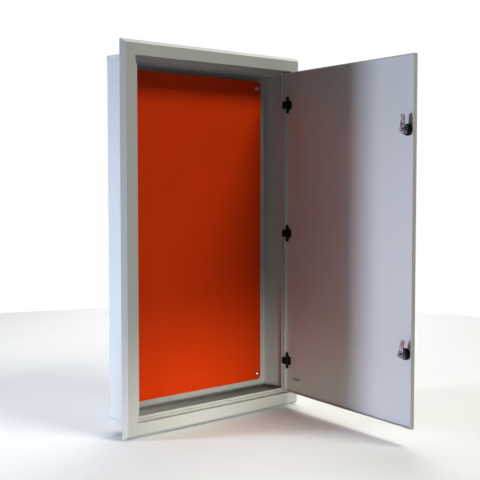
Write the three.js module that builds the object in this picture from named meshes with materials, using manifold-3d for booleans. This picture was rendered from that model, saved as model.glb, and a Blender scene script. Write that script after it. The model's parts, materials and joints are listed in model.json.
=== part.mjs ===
// Recessed fire alarm control cabinet: a shallow sheet steel box with a trim frame, a hinged door
// and a mounting plate. Millimetres, +X to the right, +Y into the wall, +Z up. The origin is the
// centre of the back panel's rear face. The door stands open and both lock cams point up.

import * as THREE from 'three';
import { mergeVertices } from 'three/addons/utils/BufferGeometryUtils.js';
import Module from 'manifold-3d';

const wasm = await Module();
wasm.setup();

// ---------------------------------------------------------------- driving dimensions

const SHEET = 1.5; // sheet thickness of box, frame and door
const GAP = 0.3; // clearance between pieces that touch
const DEPTH = 120; // front face of the frame to the back of the box
const FRONT = -DEPTH;

const OPENING_HALF_X = 300.5; // clear opening of the frame
const OPENING_HALF_Z = 501.5;
const FACE = 32; // width of the frame's flat front face
const BEVEL_OUT = 10.5; // sloped outer edge of the frame
const BEVEL_BACK = 15;
const FRAME_CORNER = 5; // rounding of the frame's outer corners
const LIP = { side: 19, end: 14.5 }; // door stop lip at the back of the frame's return
const LIP_DEPTH = 18.5;
const MITRE_GAP = 0.15;

const BOX_HALF_X = 307; // outside of the side walls
const BOX_HALF_Z = 500; // outside of the end panels
const BOX_DROP = 4; // the box sits a little below the middle of its frame
const CAP_FLANGE = 12; // edge of an end cap, turned outwards
const WALL_HOLE = { x: 230, z: 420, radius: 4.5 };

const DOOR_HINGE_EDGE = 296.3;
const DOOR_FREE_EDGE = -294.5;
const DOOR_HALF_Z = 495;
const DOOR_DEPTH = 12.5;
const DOOR_ANGLE = THREE.MathUtils.degToRad(78.7); // how far the door stands open
const PIVOT_X = 291;
const PIVOT_DEPTH = 5.5;
const HINGE_HEIGHTS = { upper: 397, middle: 0, lower: -400 };
const HINGE_NUT_HEIGHT = 6;
const HINGE_NUT_X = PIVOT_X - 12;

const KNUCKLE_RADIUS = 3.5;
const KNUCKLE_HALF = 10.5; // half length of the frame leaf's knuckle
const HINGE_HALF = 25;
const PIN_RADIUS = 1.5;
const PIN_BORE = 1.85;

const LOCK_X = -263.5;
const LOCKS = {
  upper: { z: 298, turn: 0 },
  lower: { z: -298, turn: THREE.MathUtils.degToRad(12) }, // left a little past upright
};
const CAM_REACH = 41.5;
const CAM_THICKNESS = 2.6;
const CAM_HUB_DEPTH = 21.8;
const CAM_TIP_DEPTH = 20.6;

const PLATE_HALF_X = 263;
const PLATE_HALF_Z = 470;
const PLATE_RISE = 3; // the plate sits a little above the middle
const PLATE_CORNER = 13;
const PLATE_THICKNESS = 2;
const PLATE_FRONT_DEPTH = 95;
const STUD_X = 244;
const STUD_Z = 449;
const STUD_RADIUS = 3;

const GASKET_FRONT = 14.3;
const GASKET_WIDTH = 7;

const EARTH_STUD = { x: 229, z: -452 }; // on the door's inner face
const ROUND = 24; // facets of a small round part

// ---------------------------------------------------------------- finishes

const greyPaint = { color: 0xc9cbc8, roughness: 0.45, metalness: 0.0 };
const orangePaint = { color: 0xc63d12, roughness: 0.5, metalness: 0.0 };
const blackPlastic = { color: 0x141416, roughness: 0.4, metalness: 0.0 };
const zincSteel = { color: 0xb9bcc2, roughness: 0.3, metalness: 0.9 };
const greyFoam = { color: 0x8d8a82, roughness: 0.95, metalness: 0.0 };

// ---------------------------------------------------------------- solids

function toSolid(geometry) {
  const bare = geometry.clone();
  bare.deleteAttribute('normal');
  bare.deleteAttribute('uv');
  const merged = mergeVertices(bare, 1e-4);
  const vertProperties = new Float32Array(merged.attributes.position.array);
  const triVerts = new Uint32Array(merged.index.array);
  return new wasm.Manifold(new wasm.Mesh({ numProp: 3, vertProperties, triVerts }));
}

function toGeometry(solid) {
  const mesh = solid.getMesh();
  const geometry = new THREE.BufferGeometry();
  const points = new THREE.BufferAttribute(new Float32Array(mesh.vertProperties), 3);
  geometry.setAttribute('position', points);
  geometry.setIndex(new THREE.BufferAttribute(new Uint32Array(mesh.triVerts), 1));
  return geometry;
}

function join(...geometries) {
  const solids = geometries.map(toSolid);
  return toGeometry(solids.reduce((whole, part) => whole.add(part)));
}

function cut(body, ...tools) {
  const solids = tools.map(toSolid);
  return toGeometry(solids.reduce((rest, tool) => rest.subtract(tool), toSolid(body)));
}

function common(a, b) {
  return toGeometry(toSolid(a).intersect(toSolid(b)));
}

function block([x0, x1], [y0, y1], [z0, z1]) {
  const geometry = new THREE.BoxGeometry(x1 - x0, y1 - y0, z1 - z0);
  return geometry.translate((x0 + x1) / 2, (y0 + y1) / 2, (z0 + z1) / 2);
}

// A round bar along Y from y0 to y1.
function barY(radius, [x, z], [y0, y1], sides = ROUND) {
  const geometry = new THREE.CylinderGeometry(radius, radius, y1 - y0, sides);
  return geometry.translate(x, (y0 + y1) / 2, z);
}

// A round bar along Z from z0 to z1.
function barZ(radius, [x, y], [z0, z1], sides = ROUND) {
  const geometry = new THREE.CylinderGeometry(radius, radius, z1 - z0, sides);
  return geometry.rotateX(Math.PI / 2).translate(x, y, (z0 + z1) / 2);
}

// A round bar along X from x0 to x1.
function barX(radius, [y, z], [x0, x1], sides = ROUND) {
  const geometry = new THREE.CylinderGeometry(radius, radius, x1 - x0, sides);
  return geometry.rotateZ(Math.PI / 2).translate((x0 + x1) / 2, y, z);
}

// An outline drawn in X and Z, given thickness from y0 to y1.
function sheetXZ(shape, [y0, y1], curveSegments = 6) {
  const geometry = new THREE.ExtrudeGeometry(shape, { depth: y1 - y0, bevelEnabled: false, curveSegments });
  return geometry.rotateX(Math.PI / 2).translate(0, y1, 0);
}

function outline(points) {
  return new THREE.Shape(points.map(([x, y]) => new THREE.Vector2(x, y)));
}

// A profile of [radius, y] points turned about the Y axis.
function turned(points) {
  const profile = points.map(([radius, y]) => new THREE.Vector2(radius, y));
  return new THREE.LatheGeometry(profile, ROUND);
}

function roundedRectangle(halfX, halfZ, radius) {
  const shape = new THREE.Shape();
  shape.moveTo(halfX, -halfZ + radius);
  shape.absarc(halfX - radius, halfZ - radius, radius, 0, Math.PI / 2);
  shape.absarc(-halfX + radius, halfZ - radius, radius, Math.PI / 2, Math.PI);
  shape.absarc(-halfX + radius, -halfZ + radius, radius, Math.PI, 1.5 * Math.PI);
  shape.absarc(halfX - radius, -halfZ + radius, radius, 1.5 * Math.PI, 2 * Math.PI);
  return shape;
}

const deep = (distance) => FRONT + distance; // Y of a point this far behind the front face

// ---------------------------------------------------------------- scene graph

const cabinet = new THREE.Group();
const door = new THREE.Group();

door.position.set(PIVOT_X, deep(PIVOT_DEPTH), 0);
door.rotation.z = DOOR_ANGLE;
cabinet.add(door);

function addPiece(name, geometry, finish, parent = cabinet) {
  const mesh = new THREE.Mesh(geometry, new THREE.MeshStandardMaterial(finish));
  mesh.name = name;
  parent.add(mesh);
  return mesh;
}

// Door pieces are drawn where they are with the door shut, then hung on the pivot.
function addDoorPiece(name, geometry, finish) {
  geometry.translate(-PIVOT_X, -deep(PIVOT_DEPTH), 0);
  return addPiece(name, geometry, finish, door);
}

// ---------------------------------------------------------------- box

const BOX_INNER_X = BOX_HALF_X - SHEET;
const BOX_FRONT = deep(SHEET + GAP);

function makeBackBox() {
  const wrap = outline([
    [-BOX_HALF_X, BOX_FRONT],
    [-BOX_HALF_X, 0],
    [BOX_HALF_X, 0],
    [BOX_HALF_X, BOX_FRONT],
    [BOX_INNER_X, BOX_FRONT],
    [BOX_INNER_X, -SHEET],
    [-BOX_INNER_X, -SHEET],
    [-BOX_INNER_X, BOX_FRONT],
  ]);
  const halfHeight = BOX_HALF_Z - SHEET - GAP;
  const walls = new THREE.ExtrudeGeometry(wrap, { depth: 2 * halfHeight, bevelEnabled: false });
  walls.translate(0, 0, -halfHeight);
  const holes = [];
  for (const x of [-WALL_HOLE.x, WALL_HOLE.x]) {
    for (const z of [-WALL_HOLE.z, WALL_HOLE.z]) {
      holes.push(barY(WALL_HOLE.radius, [x, z], [-2 * SHEET, SHEET]));
    }
  }
  return cut(walls, ...holes);
}

// An end panel whose side and rear edges are turned away from the box.
function makeEndCap() {
  const inner = BOX_HALF_Z - SHEET;
  const tip = BOX_HALF_Z + CAP_FLANGE;
  const halfX = BOX_HALF_X + SHEET;
  const front = deep(LIP_DEPTH + SHEET + GAP);
  return join(
    block([-halfX, halfX], [front, 0], [inner, BOX_HALF_Z]),
    block([-halfX, -BOX_HALF_X], [front, 0], [inner, tip]),
    block([BOX_HALF_X, halfX], [front, 0], [inner, tip]),
    block([-halfX, halfX], [-SHEET, 0], [inner, tip]),
  );
}

function addBoxPiece(name, geometry) {
  const mesh = addPiece(name, geometry, greyPaint);
  mesh.position.z = -BOX_DROP;
  return mesh;
}

addBoxPiece('back_box', makeBackBox());
addBoxPiece('top_end_cap', makeEndCap());
addBoxPiece('bottom_end_cap', makeEndCap()).rotation.y = Math.PI;

// ---------------------------------------------------------------- trim frame

const BEVEL_LENGTH = Math.hypot(BEVEL_OUT, BEVEL_BACK);
const BEVEL_EDGE = (SHEET * BEVEL_LENGTH) / BEVEL_BACK; // sheet thickness cut square to the front
const BEVEL_INNER = (SHEET * (BEVEL_LENGTH - BEVEL_OUT)) / BEVEL_BACK;

// Section of one rail: distance outward from the opening, distance behind the front face.
function railSection(lip) {
  return outline([
    [-lip, LIP_DEPTH],
    [0, LIP_DEPTH],
    [0, 0],
    [FACE, 0],
    [FACE + BEVEL_OUT, BEVEL_BACK],
    [FACE + BEVEL_OUT - BEVEL_EDGE, BEVEL_BACK],
    [FACE - BEVEL_INNER, SHEET],
    [SHEET, SHEET],
    [SHEET, LIP_DEPTH + SHEET],
    [-lip, LIP_DEPTH + SHEET],
  ]);
}

// One rail on the +X side, both ends mitred at 45 degrees and rounded at the frame's corners.
function makeRail(halfWidth, halfLength, lip) {
  const geometry = new THREE.ExtrudeGeometry(railSection(lip), { depth: 1, bevelEnabled: false });
  const points = geometry.attributes.position;
  for (let i = 0; i < points.count; i += 1) {
    const outward = points.getX(i);
    const along = 2 * points.getZ(i) - 1;
    const end = halfLength + outward - MITRE_GAP;
    points.setXYZ(i, halfWidth + outward, deep(points.getY(i)), along * end);
  }
  const reach = FACE + BEVEL_OUT;
  const limit = roundedRectangle(halfWidth + reach, halfLength + reach, FRAME_CORNER);
  return common(geometry, sheetXZ(limit, [deep(-1), deep(LIP_DEPTH + 2 * SHEET)], 4));
}

const ARM = { inner: 285, outer: 290.5 }; // the frame leaf's arm, across
const FRAME_SCREW_X = (ARM.inner + ARM.outer) / 2;
const FRAME_SCREW_RADIUS = 1.5;

function makeSideRail() {
  return makeRail(OPENING_HALF_X, OPENING_HALF_Z, LIP.side);
}

function makeEndRail() {
  return makeRail(OPENING_HALF_Z, OPENING_HALF_X, LIP.end);
}

function makeHingeRail() {
  const lip = [deep(LIP_DEPTH - 1), deep(LIP_DEPTH + SHEET + 1)];
  const radius = FRAME_SCREW_RADIUS + GAP;
  const holes = Object.values(HINGE_HEIGHTS).map((z) => barY(radius, [FRAME_SCREW_X, z], lip));
  return cut(makeSideRail(), ...holes);
}

addPiece('trim_frame_right', makeHingeRail(), greyPaint);
addPiece('trim_frame_left', makeSideRail(), greyPaint).rotation.y = Math.PI;
addPiece('trim_frame_top', makeEndRail(), greyPaint).rotation.y = -Math.PI / 2;
addPiece('trim_frame_bottom', makeEndRail(), greyPaint).rotation.y = Math.PI / 2;

function makeGasket() {
  const outerX = OPENING_HALF_X - GAP;
  const outerZ = OPENING_HALF_Z - GAP;
  const ring = roundedRectangle(outerX, outerZ, 2);
  ring.holes.push(roundedRectangle(outerX - GASKET_WIDTH, outerZ - GASKET_WIDTH, 1));
  return sheetXZ(ring, [deep(GASKET_FRONT), deep(LIP_DEPTH - GAP)], 2);
}

addPiece('rim_gasket', makeGasket(), greyFoam);

// ---------------------------------------------------------------- mounting plate

function makeMountingPlate() {
  const front = deep(PLATE_FRONT_DEPTH);
  const plate = sheetXZ(
    roundedRectangle(PLATE_HALF_X, PLATE_HALF_Z, PLATE_CORNER),
    [front, front + PLATE_THICKNESS],
  ).translate(0, 0, PLATE_RISE);
  const holes = studPlaces().map(({ x, z }) => barY(STUD_RADIUS + GAP, [x, z], [front - 1, front + 3]));
  return cut(plate, ...holes);
}

function studPlaces() {
  return [
    { place: 'top_left', x: -STUD_X, z: PLATE_RISE + STUD_Z },
    { place: 'top_right', x: STUD_X, z: PLATE_RISE + STUD_Z },
    { place: 'bottom_left', x: -STUD_X, z: PLATE_RISE - STUD_Z },
    { place: 'bottom_right', x: STUD_X, z: PLATE_RISE - STUD_Z },
  ];
}

function makeRing(outerRadius, boreRadius, place, [y0, y1], sides = ROUND) {
  return cut(barY(outerRadius, place, [y0, y1], sides), barY(boreRadius, place, [y0 - 1, y1 + 1]));
}

const NUT = { radius: 5.8, height: 5 };
const WASHER = { radius: 6.5, height: 1.4 };
const SPACER_RADIUS = 6;
const STUD_PROJECTION = 4; // stud length beyond the nut

function addPlateFixing({ place, x, z }) {
  const plateFront = deep(PLATE_FRONT_DEPTH);
  const washerFront = plateFront - GAP - WASHER.height;
  const nutFront = washerFront - GAP - NUT.height;
  const bore = STUD_RADIUS + GAP;
  const back = -SHEET - GAP;
  const spacer = [plateFront + PLATE_THICKNESS + GAP, back];
  addPiece(`plate_stud_${place}`, barY(STUD_RADIUS, [x, z], [nutFront - STUD_PROJECTION, back]), zincSteel);
  addPiece(`plate_spacer_${place}`, makeRing(SPACER_RADIUS, bore, [x, z], spacer), zincSteel);
  const washer = makeRing(WASHER.radius, bore, [x, z], [washerFront, plateFront - GAP]);
  addPiece(`plate_washer_${place}`, washer, zincSteel);
  const nut = makeRing(NUT.radius, bore, [x, z], [nutFront, washerFront - GAP], 6);
  addPiece(`plate_nut_${place}`, nut, zincSteel);
}

addPiece('mounting_plate', makeMountingPlate(), orangePaint);
studPlaces().forEach(addPlateFixing);

// ---------------------------------------------------------------- earth terminals

const EARTH = { radius: 3, length: 18, nutRadius: 5.8, nutHeight: 5 };

function addCabinetEarth(y, z) {
  const wall = -BOX_INNER_X + GAP;
  const nutStart = wall + 3;
  const nutEnd = nutStart + EARTH.nutHeight;
  const stud = barX(EARTH.radius, [y, z], [wall, wall + EARTH.length]);
  const nut = cut(
    barX(EARTH.nutRadius, [y, z], [nutStart, nutEnd], 6),
    barX(EARTH.radius + GAP, [y, z], [nutStart - 1, nutEnd + 1]),
  );
  addPiece('cabinet_earth_stud', stud, zincSteel);
  addPiece('cabinet_earth_nut', nut, zincSteel);
}

addCabinetEarth(deep(60), -470);

// ---------------------------------------------------------------- door

const SKIN = [deep(0), deep(SHEET)];
const BARREL_RADIUS = 10.8; // of the lock housing
const HINGE_STUD_RADIUS = 1.8;
const HINGE_STUD_TOP = 7.6;

function makeDoorPanel() {
  const height = [-DOOR_HALF_Z, DOOR_HALF_Z];
  const outer = block([DOOR_FREE_EDGE, DOOR_HINGE_EDGE], [deep(0), deep(DOOR_DEPTH)], height);
  const hollow = block(
    [DOOR_FREE_EDGE + SHEET, DOOR_HINGE_EDGE - SHEET],
    [deep(SHEET), deep(DOOR_DEPTH + 1)],
    [-DOOR_HALF_Z + SHEET, DOOR_HALF_Z - SHEET],
  );
  const notches = Object.values(HINGE_HEIGHTS).map(makeHingeNotch);
  const lockHoles = Object.values(LOCKS).map(({ z }) => {
    return barY(BARREL_RADIUS + GAP, [LOCK_X, z], [SKIN[0] - 1, SKIN[1] + 1]);
  });
  const studs = hingeNutPlaces().map((place) => {
    return barY(HINGE_STUD_RADIUS, place, [SKIN[1] - 0.5, deep(HINGE_STUD_TOP)], 12);
  });
  return join(cut(outer, hollow, ...notches, ...lockHoles), ...studs);
}

// The hinge side flange is open where the frame leaf's arm crosses it.
function makeHingeNotch(z) {
  const half = KNUCKLE_HALF + 2.5;
  const across = [DOOR_HINGE_EDGE - 4, DOOR_HINGE_EDGE + 1];
  return block(across, [deep(SHEET), deep(DOOR_DEPTH + 1)], [z - half, z + half]);
}

function hingeNutPlaces() {
  return Object.values(HINGE_HEIGHTS).flatMap((z) => [
    [HINGE_NUT_X, z - HINGE_NUT_HEIGHT],
    [HINGE_NUT_X, z + HINGE_NUT_HEIGHT],
  ]);
}

addDoorPiece('door_panel', makeDoorPanel(), greyPaint);

function addDoorEarth() {
  const { x, z } = EARTH_STUD;
  const foot = SKIN[1] + GAP;
  const nut = [foot + 3, foot + 3 + EARTH.nutHeight];
  addDoorPiece('door_earth_stud', barY(EARTH.radius, [x, z], [foot, foot + EARTH.length]), zincSteel);
  addDoorPiece('door_earth_nut', makeRing(EARTH.nutRadius, EARTH.radius + GAP, [x, z], nut, 6), zincSteel);
}

addDoorEarth();

// ---------------------------------------------------------------- hinges

const PIVOT = [PIVOT_X, deep(PIVOT_DEPTH)];
const FOOT = { inner: 281.9, outer: 292.8, thickness: 3 }; // where the frame leaf stands on the lip
const WING = { rise: GAP, thickness: 3.6, window: 6.4 };

function makeFrameLeaf(z) {
  const height = [z - KNUCKLE_HALF, z + KNUCKLE_HALF];
  const lip = deep(LIP_DEPTH - GAP);
  const leaf = join(
    barZ(KNUCKLE_RADIUS, PIVOT, height),
    block([ARM.inner, ARM.outer], [PIVOT[1], lip], height),
    block([FOOT.inner, FOOT.outer], [lip - FOOT.thickness, lip], height),
  );
  const pinBore = barZ(PIN_BORE, PIVOT, [z - HINGE_HALF, z + HINGE_HALF]);
  const screwBore = barY(FRAME_SCREW_RADIUS + GAP, [FRAME_SCREW_X, z], [lip - 8, lip + 1]);
  return cut(leaf, pinBore, screwBore);
}

// Outline of the door leaf: distance from the pivot towards the lock side, height.
const WING_OUTLINE = [
  [-3.1, -12],
  [-2.5, -23.5],
  [-1.2, -25],
  [3, -25],
  [5, -15.5],
  [16, -11.5],
  [18, -9],
  [18, 9],
  [16, 11.5],
  [5, 15.5],
  [3, 25],
  [-1.2, 25],
  [-2.5, 23.5],
  [-3.1, 12],
];

function makeDoorLeaf(z) {
  const wingBottom = SKIN[1] + WING.rise;
  const wingTop = wingBottom + WING.thickness;
  const shape = outline(WING_OUTLINE.map(([along, up]) => [PIVOT_X - along, z + up]).reverse());
  const lower = [z - HINGE_HALF, z - KNUCKLE_HALF - GAP];
  const upper = [z + KNUCKLE_HALF + GAP, z + HINGE_HALF];
  const leaf = join(
    sheetXZ(shape, [wingBottom, wingTop]),
    barZ(KNUCKLE_RADIUS, PIVOT, lower),
    barZ(KNUCKLE_RADIUS, PIVOT, upper),
  );
  const window = [z - KNUCKLE_HALF - GAP, z + KNUCKLE_HALF + GAP];
  const across = [PIVOT_X - WING.window, PIVOT_X + WING.window];
  const clearance = block(across, [SKIN[1], deep(DOOR_DEPTH)], window);
  const pinBore = barZ(PIN_BORE, PIVOT, [z - HINGE_HALF - 3, z + HINGE_HALF + 3]);
  const studs = [-HINGE_NUT_HEIGHT, HINGE_NUT_HEIGHT].map((up) => {
    return barY(HINGE_STUD_RADIUS + GAP, [HINGE_NUT_X, z + up], [SKIN[1], deep(DOOR_DEPTH)], 12);
  });
  return cut(leaf, clearance, pinBore, ...studs);
}

function makeHingePin(z) {
  const head = HINGE_HALF + GAP;
  return join(
    barZ(PIN_RADIUS, PIVOT, [z - HINGE_HALF, z + head]),
    barZ(KNUCKLE_RADIUS - 0.7, PIVOT, [z + head, z + head + 1.2]),
  );
}

// The screw comes from behind the lip and holds the frame leaf on it.
function makeFrameScrew(z) {
  const underHead = deep(LIP_DEPTH + SHEET + GAP);
  return join(
    barY(FRAME_SCREW_RADIUS, [FRAME_SCREW_X, z], [deep(LIP_DEPTH - 7), underHead]),
    barY(3.4, [FRAME_SCREW_X, z], [underHead, underHead + 2]),
  );
}

// A cap nut: blind, so the stud's end is covered.
function makeHingeNut(z) {
  const foot = SKIN[1] + WING.rise + WING.thickness + GAP;
  return cut(
    barY(3.7, [HINGE_NUT_X, z], [foot, foot + 3.6], 6),
    barY(HINGE_STUD_RADIUS + GAP, [HINGE_NUT_X, z], [foot - 1, foot + 2.6], 12),
  );
}

for (const [name, z] of Object.entries(HINGE_HEIGHTS)) {
  addPiece(`hinge_frame_leaf_${name}`, makeFrameLeaf(z), blackPlastic);
  addPiece(`hinge_pin_${name}`, makeHingePin(z), blackPlastic);
  addPiece(`hinge_screw_${name}`, makeFrameScrew(z), zincSteel);
  addDoorPiece(`hinge_door_leaf_${name}`, makeDoorLeaf(z), blackPlastic);
  addDoorPiece(`hinge_nut_${name}_low`, makeHingeNut(z - HINGE_NUT_HEIGHT), blackPlastic);
  addDoorPiece(`hinge_nut_${name}_high`, makeHingeNut(z + HINGE_NUT_HEIGHT), blackPlastic);
}

// ---------------------------------------------------------------- locks

// A lock is drawn about its own axis: X and Z across, Y as the depth behind the door's front.
const AXIS = [0, 0];
const ROTOR_RADIUS = 6.2;
const ROTOR_BORE = ROTOR_RADIUS + GAP;
const NUT_TOP = 15.2; // inner end of the clamping nut
const STOP_PLATE = { half: 11, corner: 4, thickness: 1.5 };
const ROTOR_FRONT = -2.6;
const NECK_HALF = 4;
const NECK_END = CAM_HUB_DEPTH + CAM_THICKNESS;
const CAM_BOLT_RADIUS = 2.6;

function makeLockHousing() {
  return turned([
    [ROTOR_BORE, -3.3],
    [15, -3.3],
    [17, -2],
    [17, -GAP],
    [BARREL_RADIUS, -GAP],
    [BARREL_RADIUS, NUT_TOP - 0.5],
    [ROTOR_BORE, NUT_TOP - 0.5],
    [ROTOR_BORE, -3.3],
  ]);
}

// The black clamping nut that shows on the inside of the door.
function makeLockNut() {
  const bore = BARREL_RADIUS + GAP;
  return turned([
    [bore, SHEET + GAP],
    [16, SHEET + GAP],
    [16, 6],
    [15.4, 9],
    [14, 12],
    [12.4, 14.2],
    [bore, NUT_TOP],
    [bore, SHEET + GAP],
  ]);
}

// A square steel plate on the end of the housing that limits the turn.
function makeStopPlate() {
  const shape = roundedRectangle(STOP_PLATE.half, STOP_PLATE.half, STOP_PLATE.corner);
  const front = NUT_TOP + GAP;
  const plate = sheetXZ(shape, [front, front + STOP_PLATE.thickness], 2);
  return cut(plate, barY(ROTOR_BORE, AXIS, [front - 1, front + 3]));
}

// Turning core with a double-bit key recess in front and a square neck for the cam behind.
function makeLockRotor() {
  const neckStart = CAM_HUB_DEPTH - GAP;
  const neck = block([-NECK_HALF, NECK_HALF], [neckStart - 1, NECK_END], [-NECK_HALF, NECK_HALF]);
  const body = join(barY(ROTOR_RADIUS, AXIS, [ROTOR_FRONT, neckStart]), neck);
  const recess = barY(4.6, AXIS, [ROTOR_FRONT - 1, 6]);
  const key = join(
    barY(1.7, AXIS, [ROTOR_FRONT + 1, 6.5]),
    block([-3.4, 3.4], [ROTOR_FRONT + 1, 6.5], [-0.7, 0.7]),
  );
  const bolt = barY(CAM_BOLT_RADIUS + GAP, AXIS, [neckStart - 10, NECK_END + 1]);
  return cut(join(cut(body, recess), key), bolt);
}

function camOutline() {
  const tipRadius = 7;
  const shape = new THREE.Shape();
  shape.absarc(0, 0, 9, Math.PI, 2 * Math.PI);
  shape.lineTo(tipRadius, CAM_REACH - tipRadius);
  shape.absarc(0, CAM_REACH - tipRadius, tipRadius, 0, Math.PI);
  return shape;
}

// A flat tongue, cranked towards the door so that its tip runs just behind the lip.
function makeCam() {
  const side = outline([
    [CAM_HUB_DEPTH + CAM_THICKNESS, -10],
    [CAM_HUB_DEPTH + CAM_THICKNESS, 12.5],
    [CAM_TIP_DEPTH + CAM_THICKNESS, 17],
    [CAM_TIP_DEPTH + CAM_THICKNESS, CAM_REACH + 1],
    [CAM_TIP_DEPTH, CAM_REACH + 1],
    [CAM_TIP_DEPTH, 16.5],
    [CAM_HUB_DEPTH, 12],
    [CAM_HUB_DEPTH, -10],
  ]);
  const strip = new THREE.ExtrudeGeometry(side, { depth: 20, bevelEnabled: false });
  // The outline's two axes become Y and Z, and its thickness runs along X.
  const turn = new THREE.Matrix4().makeBasis(
    new THREE.Vector3(0, 1, 0),
    new THREE.Vector3(0, 0, 1),
    new THREE.Vector3(1, 0, 0),
  );
  strip.applyMatrix4(turn).translate(-10, 0, 0);
  const through = [CAM_TIP_DEPTH - 1, NECK_END + 1];
  const blank = common(strip, sheetXZ(camOutline(), through, 8));
  const half = NECK_HALF + GAP;
  return cut(blank, block([-half, half], through, [-half, half]));
}

function makeCamBolt() {
  const seat = NECK_END + GAP;
  return join(
    barY(CAM_BOLT_RADIUS, AXIS, [seat - 10, seat]),
    barY(6.6, AXIS, [seat, seat + 1.2]),
    barY(5.5, AXIS, [seat + 1.2, seat + 5], 6),
  );
}

for (const [name, { z, turn }] of Object.entries(LOCKS)) {
  const lock = new THREE.Group();
  lock.position.set(LOCK_X - PIVOT_X, -PIVOT_DEPTH, z);
  const core = new THREE.Group();
  core.rotation.y = -turn;
  lock.add(core);
  door.add(lock);
  addPiece(`lock_housing_${name}`, makeLockHousing(), blackPlastic, lock);
  addPiece(`lock_nut_${name}`, makeLockNut(), blackPlastic, lock);
  addPiece(`lock_stop_plate_${name}`, makeStopPlate(), zincSteel, lock);
  addPiece(`lock_rotor_${name}`, makeLockRotor(), zincSteel, core);
  addPiece(`lock_cam_${name}`, makeCam(), zincSteel, core);
  addPiece(`cam_bolt_${name}`, makeCamBolt(), zincSteel, core);
}

export default cabinet;
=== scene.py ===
"""Looks for the recessed fire alarm cabinet: finishes, fine hardware, light and camera."""

import json
import math

import bmesh
import bpy
from mathutils import Matrix, Vector


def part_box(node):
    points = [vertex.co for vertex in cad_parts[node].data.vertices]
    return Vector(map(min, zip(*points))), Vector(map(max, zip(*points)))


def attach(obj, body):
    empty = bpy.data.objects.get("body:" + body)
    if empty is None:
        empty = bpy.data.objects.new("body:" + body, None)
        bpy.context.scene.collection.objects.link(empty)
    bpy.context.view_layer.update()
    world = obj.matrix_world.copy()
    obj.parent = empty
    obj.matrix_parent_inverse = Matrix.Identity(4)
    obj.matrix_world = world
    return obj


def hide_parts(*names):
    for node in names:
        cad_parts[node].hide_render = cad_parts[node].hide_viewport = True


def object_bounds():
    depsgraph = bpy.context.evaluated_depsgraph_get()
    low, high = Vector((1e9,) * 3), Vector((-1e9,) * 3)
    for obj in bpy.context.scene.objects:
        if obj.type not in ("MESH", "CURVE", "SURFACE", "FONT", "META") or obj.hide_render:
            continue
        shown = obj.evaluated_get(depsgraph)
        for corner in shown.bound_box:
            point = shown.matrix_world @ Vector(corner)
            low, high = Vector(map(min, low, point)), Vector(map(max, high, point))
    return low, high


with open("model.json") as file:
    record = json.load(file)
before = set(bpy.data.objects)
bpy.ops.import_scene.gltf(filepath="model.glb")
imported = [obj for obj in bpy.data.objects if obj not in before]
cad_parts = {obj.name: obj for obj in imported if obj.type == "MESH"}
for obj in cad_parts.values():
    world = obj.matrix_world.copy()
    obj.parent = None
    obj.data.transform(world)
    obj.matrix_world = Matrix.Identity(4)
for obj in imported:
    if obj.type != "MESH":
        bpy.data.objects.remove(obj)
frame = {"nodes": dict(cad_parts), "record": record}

CAD_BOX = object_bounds()
NODES = frame["nodes"]
MM = 0.001

# ---------------------------------------------------------------- camera

CAMERA_PLACE = Vector((-1.9505, -2.2778, 0.1630))
CAMERA_YAW = math.radians(43.32)  # from +Y towards +X
CAMERA_PITCH = math.radians(-3.38)
CAMERA_LENS = 74.9


def make_camera():
    data = bpy.data.cameras.new("camera")
    data.lens = CAMERA_LENS
    camera = bpy.data.objects.new("camera", data)
    bpy.context.scene.collection.objects.link(camera)
    ahead = Vector((
        math.sin(CAMERA_YAW) * math.cos(CAMERA_PITCH),
        math.cos(CAMERA_YAW) * math.cos(CAMERA_PITCH),
        math.sin(CAMERA_PITCH),
    ))
    camera.location = CAMERA_PLACE
    camera.rotation_euler = ahead.to_track_quat("-Z", "Y").to_euler()
    bpy.context.scene.camera = camera


make_camera()

# ---------------------------------------------------------------- node helpers


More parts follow.
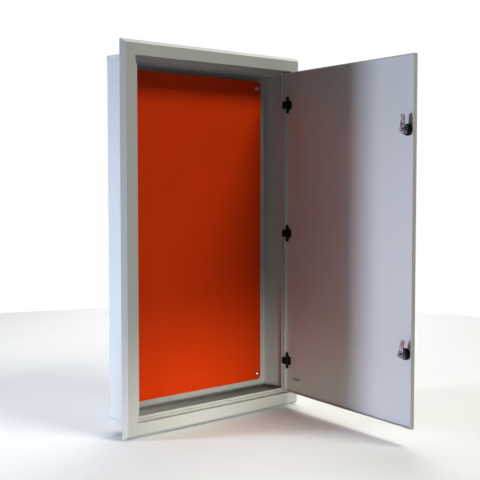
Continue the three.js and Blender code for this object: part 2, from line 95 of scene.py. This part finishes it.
class Shader:
    """A new material whose nodes are added and linked in one call each."""

    def __init__(self, name, **sockets):
        self.material = bpy.data.materials.new(name)
        self.material.use_nodes = True
        self.tree = self.material.node_tree
        self.surface = self.tree.nodes["Principled BSDF"]
        for socket, value in sockets.items():
            self.surface.inputs[socket.replace("_", " ")].default_value = value
        self.place = self.add("ShaderNodeTexCoord").outputs["Object"]

    def add(self, kind, settings=None, **sockets):
        node = self.tree.nodes.new(kind)
        for key, value in (settings or {}).items():
            setattr(node, key, value)
        for socket, value in sockets.items():
            self.feed(node.inputs[socket.replace("_", " ")], value)
        return node

    def feed(self, socket, value):
        if isinstance(value, bpy.types.NodeSocket):
            self.tree.links.new(value, socket)
        else:
            socket.default_value = value

    def stretch(self, factors):
        scaled = self.add("ShaderNodeMapping", Vector=self.place)
        scaled.inputs["Scale"].default_value = factors
        return scaled.outputs["Vector"]

    def noise(self, scale, detail=2.0, roughness=0.5, where=None):
        node = self.add("ShaderNodeTexNoise", Scale=scale, Detail=detail, Roughness=roughness)
        self.feed(node.inputs["Vector"], where or self.place)
        return node.outputs["Fac"]

    def remap(self, value, low, high, new_low=0.0, new_high=1.0):
        node = self.add("ShaderNodeMapRange", Value=value, From_Min=low, From_Max=high)
        node.inputs["To Min"].default_value = new_low
        node.inputs["To Max"].default_value = new_high
        return node.outputs["Result"]

    def math(self, operation, a, b=0.5):
        node = self.add("ShaderNodeMath", {"operation": operation})
        self.feed(node.inputs[0], a)
        self.feed(node.inputs[1], b)
        return node.outputs["Value"]

    def blend(self, factor, a, b):
        node = self.add("ShaderNodeMix", {"data_type": "RGBA"})
        self.feed(node.inputs["Factor"], factor)
        self.feed(node.inputs["A"], a)
        self.feed(node.inputs["B"], b)
        return node.outputs["Result"]

    def edges(self, radius):
        """1 on the sharp edges of the piece and 0 on its flats."""
        rounded = self.add("ShaderNodeBevel", {"samples": 4}, Radius=radius).outputs["Normal"]
        flat = self.add("ShaderNodeNewGeometry").outputs["Normal"]
        dot = self.add("ShaderNodeVectorMath", {"operation": "DOT_PRODUCT"})
        self.feed(dot.inputs[0], rounded)
        self.feed(dot.inputs[1], flat)
        return self.remap(dot.outputs["Value"], 0.99, 0.85)

    def bump(self, height, distance, strength=1.0, over=None):
        node = self.add("ShaderNodeBump", Height=height, Distance=distance, Strength=strength)
        if over is not None:
            self.feed(node.inputs["Normal"], over)
        return node.outputs["Normal"]

    def set(self, **sockets):
        for socket, value in sockets.items():
            self.feed(self.surface.inputs[socket.replace("_", " ")], value)
        return self.material


def grey(level):
    return (level, level, level, 1.0)


DRAWN_ALONG_Z = (1.0, 1.0, 0.15)  # stretches a texture into streaks


# ---------------------------------------------------------------- finishes


def powder_coat(name, colour, darker, gloss_roughness, specular=0.45):
    """Satin powder coat: fine orange peel, faint mottling, and rubbed edges."""
    paint = Shader(name, Specular_IOR_Level=specular)
    mottle = paint.remap(paint.noise(9.0, 4.0), 0.3, 0.7)
    grain = paint.noise(2600.0, 2.0)
    peel = paint.noise(420.0, 3.0)
    rub = paint.edges(0.9 * MM)
    base = paint.blend(paint.math("MULTIPLY", mottle, 0.5), colour, darker)
    lifted = tuple(min(1.0, 1.12 * c + 0.02) for c in colour[:3]) + (1.0,)
    worn = paint.blend(paint.math("MULTIPLY", rub, 0.5), base, lifted)
    speckled = paint.blend(paint.remap(grain, 0.2, 0.8, 0.0, 0.05), worn, grey(0.08))
    rough = paint.remap(mottle, 0.0, 1.0, gloss_roughness - 0.04, gloss_roughness + 0.05)
    height = paint.math("ADD", peel, paint.math("MULTIPLY", grain, 0.3))
    bump = paint.bump(height, 0.035 * MM, 0.6)
    return paint.set(Base_Color=speckled, Roughness=rough, Normal=bump)


def moulded_plastic():
    """Black glass-filled nylon with a spark-eroded grain and polished edges."""
    plastic = Shader("black_plastic", Specular_IOR_Level=0.18)
    grain = plastic.noise(2200.0, 3.0)
    cloud = plastic.remap(plastic.noise(160.0, 3.0), 0.3, 0.7)
    rub = plastic.edges(0.5 * MM)
    base = plastic.blend(cloud, (0.003, 0.003, 0.004, 1.0), (0.006, 0.006, 0.007, 1.0))
    worn = plastic.blend(plastic.math("MULTIPLY", rub, 0.6), base, grey(0.02))
    rough = plastic.remap(cloud, 0.0, 1.0, 0.42, 0.58)
    bump = plastic.bump(grain, 0.05 * MM, 0.7)
    return plastic.set(Base_Color=worn, Roughness=rough, Normal=bump)


def plated_steel(name, tint, roughness):
    """Bright zinc or nickel plating with drawing marks along the piece."""
    metal = Shader(name, Metallic=1.0)
    lines = metal.noise(900.0, 3.0, where=metal.stretch(DRAWN_ALONG_Z))
    cloud = metal.remap(metal.noise(120.0, 4.0), 0.3, 0.7)
    rub = metal.edges(0.4 * MM)
    dull = tuple(0.82 * c for c in tint[:3]) + (1.0,)
    base = metal.blend(cloud, tint, dull)
    bright = metal.blend(metal.math("MULTIPLY", rub, 0.5), base, grey(0.95))
    cloudy = metal.remap(cloud, 0.0, 1.0, roughness, roughness + 0.1)
    rough = metal.math("ADD", cloudy, metal.remap(lines, 0.3, 0.7, -0.04, 0.04))
    waves = metal.bump(metal.noise(90.0, 2.0), 1.1 * MM, 0.9)
    bump = metal.bump(lines, 0.02 * MM, 0.5, over=waves)
    return metal.set(Base_Color=bright, Roughness=rough, Normal=bump)


def closed_cell_foam():
    """Soft grey gasket foam: cells of half a millimetre with painted shade in their pits, and a dusty
    sheen.
    """
    foam = Shader("grey_foam", Specular_IOR_Level=0.25)
    cells = foam.add("ShaderNodeTexVoronoi", Scale=1500.0, Vector=foam.place).outputs["Distance"]
    cloud = foam.remap(foam.noise(40.0, 4.0), 0.3, 0.7)
    base = foam.blend(cloud, (0.46, 0.45, 0.42, 1.0), (0.40, 0.39, 0.37, 1.0))
    # painted shade: the pits of the cells are darkened towards grey 0.22
    pit_shade = foam.blend(foam.remap(cells, 0.0, 0.5), grey(0.22), base)
    foam.surface.inputs["Sheen Weight"].default_value = 0.15
    return foam.set(Base_Color=pit_shade, Roughness=0.95, Normal=foam.bump(cells, 0.2 * MM, 0.8))


GREY_PAINT = powder_coat(
    "grey_paint", (0.42, 0.425, 0.415, 1.0), (0.39, 0.395, 0.385, 1.0), gloss_roughness=0.36)
ORANGE_PAINT = powder_coat(
    "orange_paint", (0.55, 0.032, 0.0002, 1.0), (0.49, 0.028, 0.0002, 1.0),
    gloss_roughness=0.5, specular=0.04)
BLACK_PLASTIC = moulded_plastic()
ZINC = plated_steel("zinc_plate", (0.62, 0.63, 0.65, 1.0), 0.24)
# painted shade: the nickel tint is darkened to stand for the dark room that the cams reflect
DARKENED_NICKEL = plated_steel("nickel_plate_painted_dark", (0.38, 0.39, 0.40, 1.0), 0.22)
FOAM = closed_cell_foam()

FINISHES = (
    (("back_box", "top_end_cap", "bottom_end_cap", "trim_frame", "door_panel"), GREY_PAINT),
    (("mounting_plate",), ORANGE_PAINT),
    (("hinge_frame", "hinge_door", "hinge_pin", "hinge_nut"), BLACK_PLASTIC),
    (("lock_housing", "lock_nut"), BLACK_PLASTIC),
    (("lock_rotor", "lock_cam", "cam_bolt", "lock_stop"), DARKENED_NICKEL),
    (("plate_stud", "plate_nut", "plate_washer", "plate_spacer"), ZINC),
    (("cabinet_earth", "door_earth", "hinge_screw"), ZINC),
    (("rim_gasket",), FOAM),
)
EDGE_ROUNDING = {  # mm
    GREY_PAINT: 0.5,
    ORANGE_PAINT: 0.4,
    BLACK_PLASTIC: 0.4,
    DARKENED_NICKEL: 0.3,
    ZINC: 0.25,
    FOAM: 1.0,
}
SHARP_EDGE = math.radians(32)  # an edge that turns more than this is rounded


def finish_of(node):
    for prefixes, material in FINISHES:
        if node.startswith(prefixes):
            return material
    raise ValueError(node)


def round_edges(piece, width_mm):
    bevel = piece.modifiers.new("rounded_edges", "BEVEL")
    bevel.width = width_mm * MM
    bevel.segments = 3
    bevel.limit_method = "ANGLE"
    bevel.angle_limit = SHARP_EDGE
    bevel.harden_normals = True


def finish_cad_nodes():
    for name, piece in NODES.items():
        material = finish_of(name)
        piece.data.materials.clear()
        piece.data.materials.append(material)
        round_edges(piece, EDGE_ROUNDING[material])


finish_cad_nodes()

# ---------------------------------------------------------------- fine hardware

JOINTS = {joint["name"]: joint for joint in frame["record"]["behaviour"]["joints"]}
DOOR_INWARD = -Vector(JOINTS["upper_lock_turn"]["axis"])  # out of the door's inner face
INTO_ROOM = Vector((0.0, -1.0, 0.0))
ACROSS = Vector((1.0, 0.0, 0.0))
SIDES = 72
THREAD_STEPS = 8  # rings in one turn of a thread
THREAD_DEPTH = 0.54  # of its pitch
CREST_SLOPE = 1.25  # leaves a flat root
CHAMFER_STEPS = 5
CHAMFER_RIM = 0.95  # of a hexagon's flat radius
CHAMFER_ANGLE = math.radians(30)
COUNTERSINK = 0.5
SMOOTH_ANGLE = math.radians(28)

# Sizes of the plain solids that these pieces stand for, in mm.
M6 = {"radius": 3.0, "pitch": 1.0, "nut": 5.8}
BORE_CLEARANCE = 0.3
EARTH_STUD_LENGTH = 18.0
EARTH_NUT_HEIGHT = 5.0
HINGE_NUT = {"corner": 3.7, "height": 3.6, "bore": 2.1, "bore_depth": 2.6}
HINGE_NUT_DISH = {"rim": 2.4, "floor": 2.1, "depth": 0.3}
CAM_BOLT_SEAT = 2.9  # above the lock joint's own point, along the lock
CAM_BOLT = {"shank": 2.6, "length": 10.0, "washer": 6.6, "washer_height": 1.2, "corner": 5.5,
            "head_height": 3.8}
CAM_BOLT_DISH = {"rim": 3.2, "floor": 2.8, "depth": 0.35}
BOLT_TIP_CHAMFER = 0.5
WASHER_EDGE = {"across": 0.3, "up": 0.25}


def ringed_mesh(name, rows, closed_loop=False):
    """Quads between rings of points about local Z; each row is (height, radius or radii), in mm."""
    shape = bmesh.new()
    rings = []
    for height, radii in rows:
        if not isinstance(radii, list):
            radii = [radii] * SIDES
        ring = []
        for i, radius in enumerate(radii):
            angle = 2 * math.pi * i / SIDES
            place = Vector((radius * math.cos(angle), radius * math.sin(angle), height))
            ring.append(shape.verts.new(place * MM))
        rings.append(ring)
    pairs = list(zip(rings, rings[1:]))
    if closed_loop:
        pairs.append((rings[-1], rings[0]))
    for lower, upper in pairs:
        for i in range(SIDES):
            j = (i + 1) % SIDES
            shape.faces.new((lower[i], lower[j], upper[j], upper[i]))
    if not closed_loop:
        shape.faces.new(list(reversed(rings[0])))
        shape.faces.new(rings[-1])
    bmesh.ops.recalc_face_normals(shape, faces=shape.faces)
    data = bpy.data.meshes.new(name)
    shape.to_mesh(data)
    shape.free()
    return data


def place_piece(name, data, centre, direction, material, body, slot, stands_for):
    """Puts a piece drawn about local Z on a line through centre, and hides the plain solid."""
    piece = bpy.data.objects.new(name, data)
    bpy.context.scene.collection.objects.link(piece)
    turn = direction.to_track_quat("Z", "Y").to_matrix().to_4x4()
    piece.matrix_world = Matrix.Translation(centre) @ turn
    data.materials.append(material)
    data.shade_smooth()
    data.set_sharp_from_angle(angle=SMOOTH_ANGLE)
    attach(piece, body)
    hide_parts(stands_for)


def centre_of(node):
    low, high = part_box(node)
    return (Vector(low) + Vector(high)) / 2


def hexagon(corner_radius, limit):
    """Radii of a hexagon, cut back to a round of radius limit."""
    flat = corner_radius * math.cos(math.pi / 6)
    radii = []
    for i in range(SIDES):
        off = (2 * math.pi * i / SIDES) % (math.pi / 3) - math.pi / 6
        radii.append(min(flat / math.cos(off), limit))
    return radii


def chamfered_side(corner_radius, height, ends=(True, True)):
    """Rows up the side of a hexagon nut or head, its corners turned off at the chosen ends."""
    flat = corner_radius * math.cos(math.pi / 6)
    rim = CHAMFER_RIM * flat
    depth = (corner_radius - rim) * math.tan(CHAMFER_ANGLE)
    steps = [i / CHAMFER_STEPS for i in range(CHAMFER_STEPS + 1)]
    rise = [(depth * t, rim + (corner_radius - rim) * t) for t in steps]
    low = rise if ends[0] else [(0.0, corner_radius)]
    high = rise if ends[1] else [(0.0, corner_radius)]
    rows = [(-height / 2 + up, hexagon(corner_radius, limit)) for up, limit in low]
    rows += [(height / 2 - up, hexagon(corner_radius, limit)) for up, limit in reversed(high)]
    return rows


def nut_mesh(name, corner_radius, height, bore):
    """A hexagon nut with a countersunk bore."""
    mouth = bore + COUNTERSINK
    half = height / 2
    straight = half - COUNTERSINK
    inside = [(half, mouth), (straight, bore), (-straight, bore), (-half, mouth)]
    return ringed_mesh(name, chamfered_side(corner_radius, height) + inside, closed_loop=True)


def thread_mesh(name, radius, length, pitch):
    """A bar threaded from end to end, with turned-off ends."""
    depth = THREAD_DEPTH * pitch
    count = int(length / pitch * THREAD_STEPS)
    rows = []
    for k in range(count + 1):
        height = length * (k / count - 0.5)
        from_end = min(k, count - k) * length / count
        limit = radius - depth + from_end
        radii = []
        for i in range(SIDES):
            turn = (height / pitch - i / SIDES) % 1.0
            crest = abs(2 * turn - 1)
            groove = depth * min(1.0, CREST_SLOPE * (1 - crest))
            radii.append(min(limit, radius - groove))
        rows.append((height, radii))
    return ringed_mesh(name, rows)


def span(node, direction):
    """Length of a node along a direction, in mm."""
    low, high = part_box(node)
    return abs((Vector(high) - Vector(low)).dot(direction)) / MM


def add_stud_and_nut(stud, nut, direction, body, stud_length, nut_height):
    bar = thread_mesh(stud, M6["radius"], stud_length, M6["pitch"])
    place_piece(f"{stud}_thread", bar, centre_of(stud), direction, ZINC, body, "plated_steel", stud)
    ring = nut_mesh(nut, M6["nut"], nut_height, M6["radius"] + BORE_CLEARANCE)
    place_piece(f"{nut}_hex", ring, centre_of(nut), direction, ZINC, body, "plated_steel", nut)


def add_plate_fixings():
    for corner in ("top_left", "top_right", "bottom_left", "bottom_right"):
        stud, nut = f"plate_stud_{corner}", f"plate_nut_{corner}"
        lengths = (span(stud, INTO_ROOM), span(nut, INTO_ROOM))
        add_stud_and_nut(stud, nut, INTO_ROOM, "cabinet", *lengths)


def add_earth_terminals():
    lengths = (EARTH_STUD_LENGTH, EARTH_NUT_HEIGHT)
    add_stud_and_nut("cabinet_earth_stud", "cabinet_earth_nut", ACROSS, "cabinet", *lengths)
    add_stud_and_nut("door_earth_stud", "door_earth_nut", DOOR_INWARD, "door", *lengths)


def dish(top, sizes):
    """A shallow turned hollow in the top of a nut or head."""
    return [(top, sizes["rim"]), (top - sizes["depth"], sizes["floor"])]


def cap_nut_mesh(name):
    """A small closed nut: a blind bore below, a turned top with a shallow dish."""
    half = HINGE_NUT["height"] / 2
    bore = HINGE_NUT["bore"]
    inside = [(HINGE_NUT["bore_depth"] - half, bore), (-half, bore)]
    side = chamfered_side(HINGE_NUT["corner"], HINGE_NUT["height"])
    return ringed_mesh(name, inside + side + dish(half, HINGE_NUT_DISH))


def cam_bolt_mesh(name):
    """A hexagon bolt with a captive washer; its seat is at local zero."""
    shank, washer, thick = CAM_BOLT["shank"], CAM_BOLT["washer"], CAM_BOLT["washer_height"]
    tip = -CAM_BOLT["length"]
    across, up = WASHER_EDGE["across"], WASHER_EDGE["up"]
    rows = [(tip, shank - BOLT_TIP_CHAMFER), (tip + BOLT_TIP_CHAMFER, shank), (0.0, shank)]
    rows += [(0.0, washer - across), (up, washer), (thick - up, washer), (thick, washer - across)]
    head_centre = thick + CAM_BOLT["head_height"] / 2
    head = chamfered_side(CAM_BOLT["corner"], CAM_BOLT["head_height"], ends=(False, True))
    rows += [(head_centre + rise, radii) for rise, radii in head]
    return ringed_mesh(name, rows + dish(thick + CAM_BOLT["head_height"], CAM_BOLT_DISH))


def add_hinge_nuts():
    for hinge in ("upper", "middle", "lower"):
        for level in ("low", "high"):
            nut = f"hinge_nut_{hinge}_{level}"
            mesh, finish = cap_nut_mesh(nut), (BLACK_PLASTIC, "door", "black_plastic")
            place_piece(f"{nut}_cap", mesh, centre_of(nut), DOOR_INWARD, *finish, nut)


def add_cam_bolts():
    for lock in ("upper", "lower"):
        bolt = f"cam_bolt_{lock}"
        seat = Vector(JOINTS[f"{lock}_lock_turn"]["pos_m"]) + DOOR_INWARD * CAM_BOLT_SEAT * MM
        mesh, body = cam_bolt_mesh(bolt), f"{lock}_lock"
        place_piece(f"{bolt}_hex", mesh, seat, DOOR_INWARD, DARKENED_NICKEL, body, "plated_steel", bolt)


add_plate_fixings()
add_earth_terminals()
add_hinge_nuts()
add_cam_bolts()

# ---------------------------------------------------------------- stage and light

FLOOR_Z = CAD_BOX[0][2] - 2 * MM
FLOOR_RADIUS = 2.6
BACKDROP_RADIUS = 14.0
WORLD_STRENGTH = 0.03


def make_floor():
    data = bpy.data.meshes.new("floor")
    shape = bmesh.new()
    bmesh.ops.create_circle(shape, cap_ends=True, segments=96, radius=FLOOR_RADIUS)
    shape.to_mesh(data)
    shape.free()
    floor = bpy.data.objects.new("floor", data)
    floor.location = (0.0, 0.0, FLOOR_Z)
    bpy.context.scene.collection.objects.link(floor)
    pale = Shader("pale_floor", Roughness=0.8, Specular_IOR_Level=0.2)
    shade = pale.blend(pale.noise(3.0), grey(0.9), grey(0.86))
    data.materials.append(pale.set(Base_Color=shade))


def area_light(name, place, target, size, power, colour, spread=180.0):
    """A rectangular lamp at place, facing target; spread is its beam's width in degrees."""
    data = bpy.data.lights.new(name, "AREA")
    data.shape = "RECTANGLE"
    data.size, data.size_y = size
    data.energy = power
    data.color = colour
    data.spread = math.radians(spread)
    light = bpy.data.objects.new(name, data)
    light.location = place
    aim = Vector(target) - Vector(place)
    light.rotation_euler = aim.to_track_quat("-Z", "Y").to_euler()
    light.visible_camera = False
    bpy.context.scene.collection.objects.link(light)


def make_world():
    world = bpy.data.worlds.new("studio")
    world.use_nodes = True
    background = world.node_tree.nodes["Background"]
    background.inputs["Color"].default_value = (1.0, 1.0, 1.0, 1.0)
    background.inputs["Strength"].default_value = WORLD_STRENGTH
    bpy.context.scene.world = world


def make_backdrop():
    """A white surround that is seen but casts no light of its own."""
    data = bpy.data.meshes.new("backdrop")
    shape = bmesh.new()
    bmesh.ops.create_uvsphere(shape, u_segments=64, v_segments=32, radius=BACKDROP_RADIUS)
    shape.to_mesh(data)
    shape.free()
    backdrop = bpy.data.objects.new("backdrop", data)
    bpy.context.scene.collection.objects.link(backdrop)
    white = Shader("white_backdrop", Base_Color=grey(0.0), Specular_IOR_Level=0.0)
    data.materials.append(white.set(Emission_Color=grey(1.0), Emission_Strength=1.0))
    for kind in ("diffuse", "glossy", "transmission", "shadow"):
        setattr(backdrop, f"visible_{kind}", False)


make_floor()
make_backdrop()
make_world()

COOL, WARM, NEUTRAL = (0.70, 0.79, 1.0), (1.0, 0.99, 0.87), (1.0, 1.0, 1.0)
area_light("window", (-2.95, 1.55, 0.0), (0.2, -0.4, 0.0), (0.6, 1.3), 142.0, COOL)
area_light("window_low", (-3.0, 1.45, 0.0), (0.2, -0.5, -0.70), (0.6, 0.6), 2.3, COOL, spread=40.0)
area_light("room", (0.45, -2.6, 2.9), (0.0, -0.1, 0.0), (1.6, 1.0), 94.0, WARM)
area_light("low_front", (-0.9, -1.6, -0.44), (-0.05, -0.2, -0.54), (0.5, 0.12), 0.85, WARM, spread=25.0)
area_light("overhead", (1.2, 1.2, 2.6), (0.7, 0.7, FLOOR_Z), (3.0, 3.0), 60.0, NEUTRAL)
area_light("rear", (2.6, 2.2, 1.4), (0.2, -0.1, 0.0), (2.0, 2.0), 45.0, NEUTRAL)
bpy.context.scene.view_settings.view_transform = "Standard"
